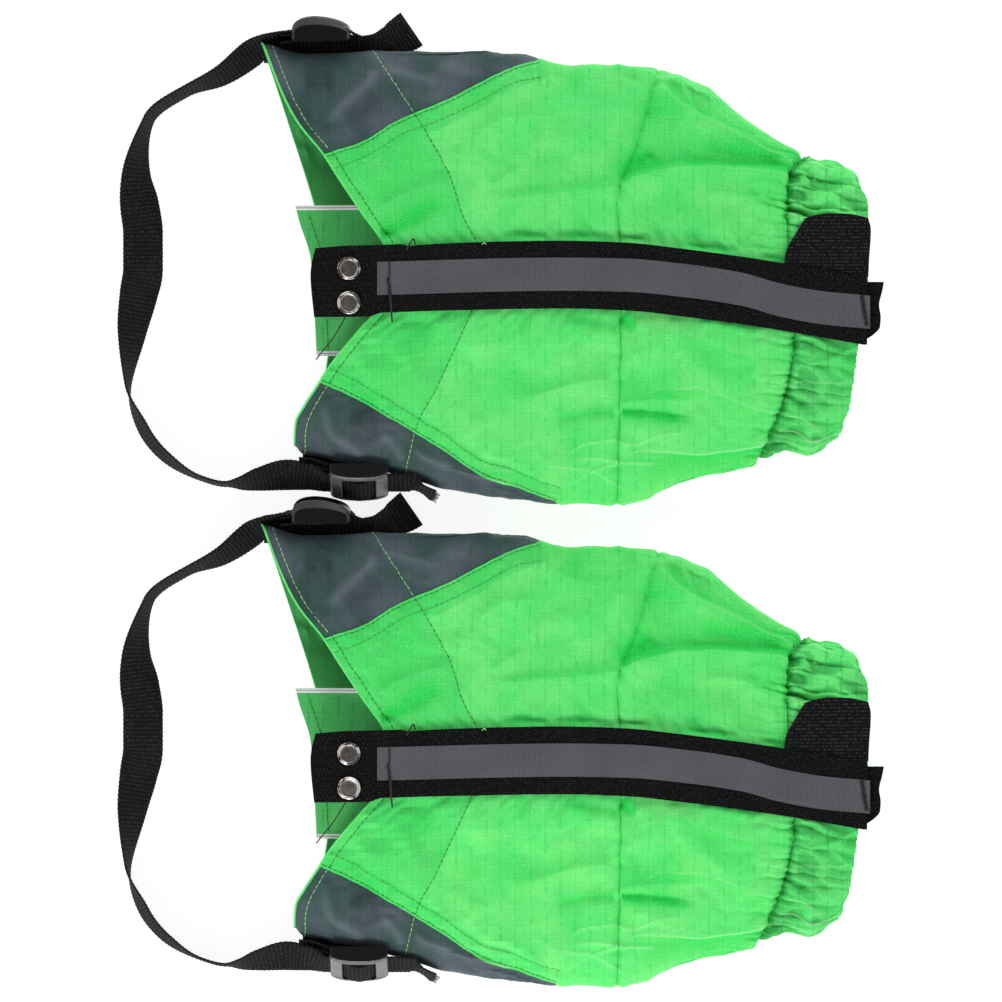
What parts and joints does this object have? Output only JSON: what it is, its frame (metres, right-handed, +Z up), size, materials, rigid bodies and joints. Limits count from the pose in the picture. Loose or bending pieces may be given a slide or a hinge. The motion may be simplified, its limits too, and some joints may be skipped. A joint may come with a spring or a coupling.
{
  "type": "pair of short hiking gaiters",
  "caption": "Pair of short ripstop gaiters: front hook and loop closure, elastic cuff, bright body with dark side panels, and an adjustable webbing instep strap.",
  "frame": {"origin": "on the ground under the middle of the pair's footprint, both gaiters lying on their backs", "axes": "+X along the legs from hem to cuff, +Y from the right gaiter to the left one (towards each gaiter's outer side), +Z up out of the closures"},
  "size_m": [0.3828, 0.4888, 0.0485],
  "materials": {
    "ripstop_green": "bright green coated ripstop nylon, slightly translucent, soft sheen, grid of about 8 mm",
    "ripstop_green_double": "the same ripstop where it lies in two layers or in shade",
    "side_gray": "dark gray ripstop nylon, slightly translucent, soft sheen",
    "edge_binding": "white woven edge binding",
    "hook_and_loop_black": "black hook and loop tape, matt",
    "webbing_black": "black polypropylene webbing, coarse ribbed weave",
    "elastic_white": "braided elastic",
    "reflective_gray": "gray reflective tape, smooth satin face",
    "buckle_plastic": "black moulded acetal, satin",
    "gunmetal": "dark nickel plate, polished"
  },
  "bodies": {
    "left_shell": {"left_outer_front_panel": "ripstop_green", "left_inner_front_panel": "ripstop_green", "left_outer_side_panel": "side_gray", "left_inner_side_panel": "side_gray", "left_heel_panel": "ripstop_green", "left_outer_leg_panel": "ripstop_green", "left_inner_leg_panel": "ripstop_green", "left_hem_facing": "ripstop_green_double", "left_cuff_tunnel": "ripstop_green", "left_cuff_elastic": "elastic_white", "left_front_underlap": "ripstop_green_double", "left_underlap_outer_binding": "edge_binding", "left_underlap_inner_binding": "edge_binding", "left_hook_tape": "hook_and_loop_black"},
    "left_closure": {"left_closure_tape": "hook_and_loop_black", "left_reflective_tape": "reflective_gray", "left_outer_rivet": "gunmetal", "left_inner_rivet": "gunmetal", "left_lace_hook": "gunmetal"},
    "left_tab": {"left_cuff_tab": "hook_and_loop_black"},
    "left_buckles": {"left_outer_buckle": "buckle_plastic", "left_inner_buckle": "buckle_plastic", "left_outer_anchor_tab": "webbing_black", "left_inner_anchor_tab": "webbing_black"},
    "left_strap": {"left_instep_strap": "webbing_black"},
    "right_shell": {"right_outer_front_panel": "ripstop_green", "right_inner_front_panel": "ripstop_green", "right_outer_side_panel": "side_gray", "right_inner_side_panel": "side_gray", "right_heel_panel": "ripstop_green", "right_outer_leg_panel": "ripstop_green", "right_inner_leg_panel": "ripstop_green", "right_hem_facing": "ripstop_green_double", "right_cuff_tunnel": "ripstop_green", "right_cuff_elastic": "elastic_white", "right_front_underlap": "ripstop_green_double", "right_underlap_outer_binding": "edge_binding", "right_underlap_inner_binding": "edge_binding", "right_hook_tape": "hook_and_loop_black"},
    "right_closure": {"right_closure_tape": "hook_and_loop_black", "right_reflective_tape": "reflective_gray", "right_outer_rivet": "gunmetal", "right_inner_rivet": "gunmetal", "right_lace_hook": "gunmetal"},
    "right_tab": {"right_cuff_tab": "hook_and_loop_black"},
    "right_buckles": {"right_outer_buckle": "buckle_plastic", "right_inner_buckle": "buckle_plastic", "right_outer_anchor_tab": "webbing_black", "right_inner_anchor_tab": "webbing_black"},
    "right_strap": {"right_instep_strap": "webbing_black"}
  },
  "joints": [
    {"name": "left_closure_peel", "type": "hinge", "parent": "left_shell", "child": "left_closure", "pos_m": [-0.06062, 0.0923, 0.0466], "axis": [0.9981, -0.0609, -0.0041], "range_deg": [0, 100]},
    {"name": "left_cuff_tab_lift", "type": "hinge", "parent": "left_shell", "child": "left_tab", "pos_m": [0.14188, 0.1181, 0.0408], "axis": [0.9886, -0.143, -0.0463], "range_deg": [0, 80]},
    {"name": "left_strap_swing", "type": "hinge", "parent": "left_shell", "child": "left_buckles", "pos_m": [-0.10012, 0.1218, 0.016], "axis": [0.0568, -0.9984, 0], "range_deg": [0, 60]},
    {"name": "left_strap_let_out", "type": "slide", "parent": "left_buckles", "child": "left_strap", "axis": [-1, 0, 0], "range_m": [0, 0.01]},
    {"name": "right_closure_peel", "type": "hinge", "parent": "right_shell", "child": "right_closure", "pos_m": [-0.06062, -0.1487, 0.0466], "axis": [0.9981, -0.0609, -0.0041], "range_deg": [0, 100]},
    {"name": "right_cuff_tab_lift", "type": "hinge", "parent": "right_shell", "child": "right_tab", "pos_m": [0.14188, -0.1229, 0.0408], "axis": [0.9886, -0.143, -0.0463], "range_deg": [0, 80]},
    {"name": "right_strap_swing", "type": "hinge", "parent": "right_shell", "child": "right_buckles", "pos_m": [-0.10012, -0.1192, 0.016], "axis": [0.0568, -0.9984, 0], "range_deg": [0, 60]},
    {"name": "right_strap_let_out", "type": "slide", "parent": "right_buckles", "child": "right_strap", "axis": [-1, 0, 0], "range_m": [0, 0.01]},
    {"name": "pair_separation", "type": "slide", "parent": "left_shell", "child": "right_shell", "axis": [0, -1, 0], "range_m": [0, 0.15]}
  ]
}
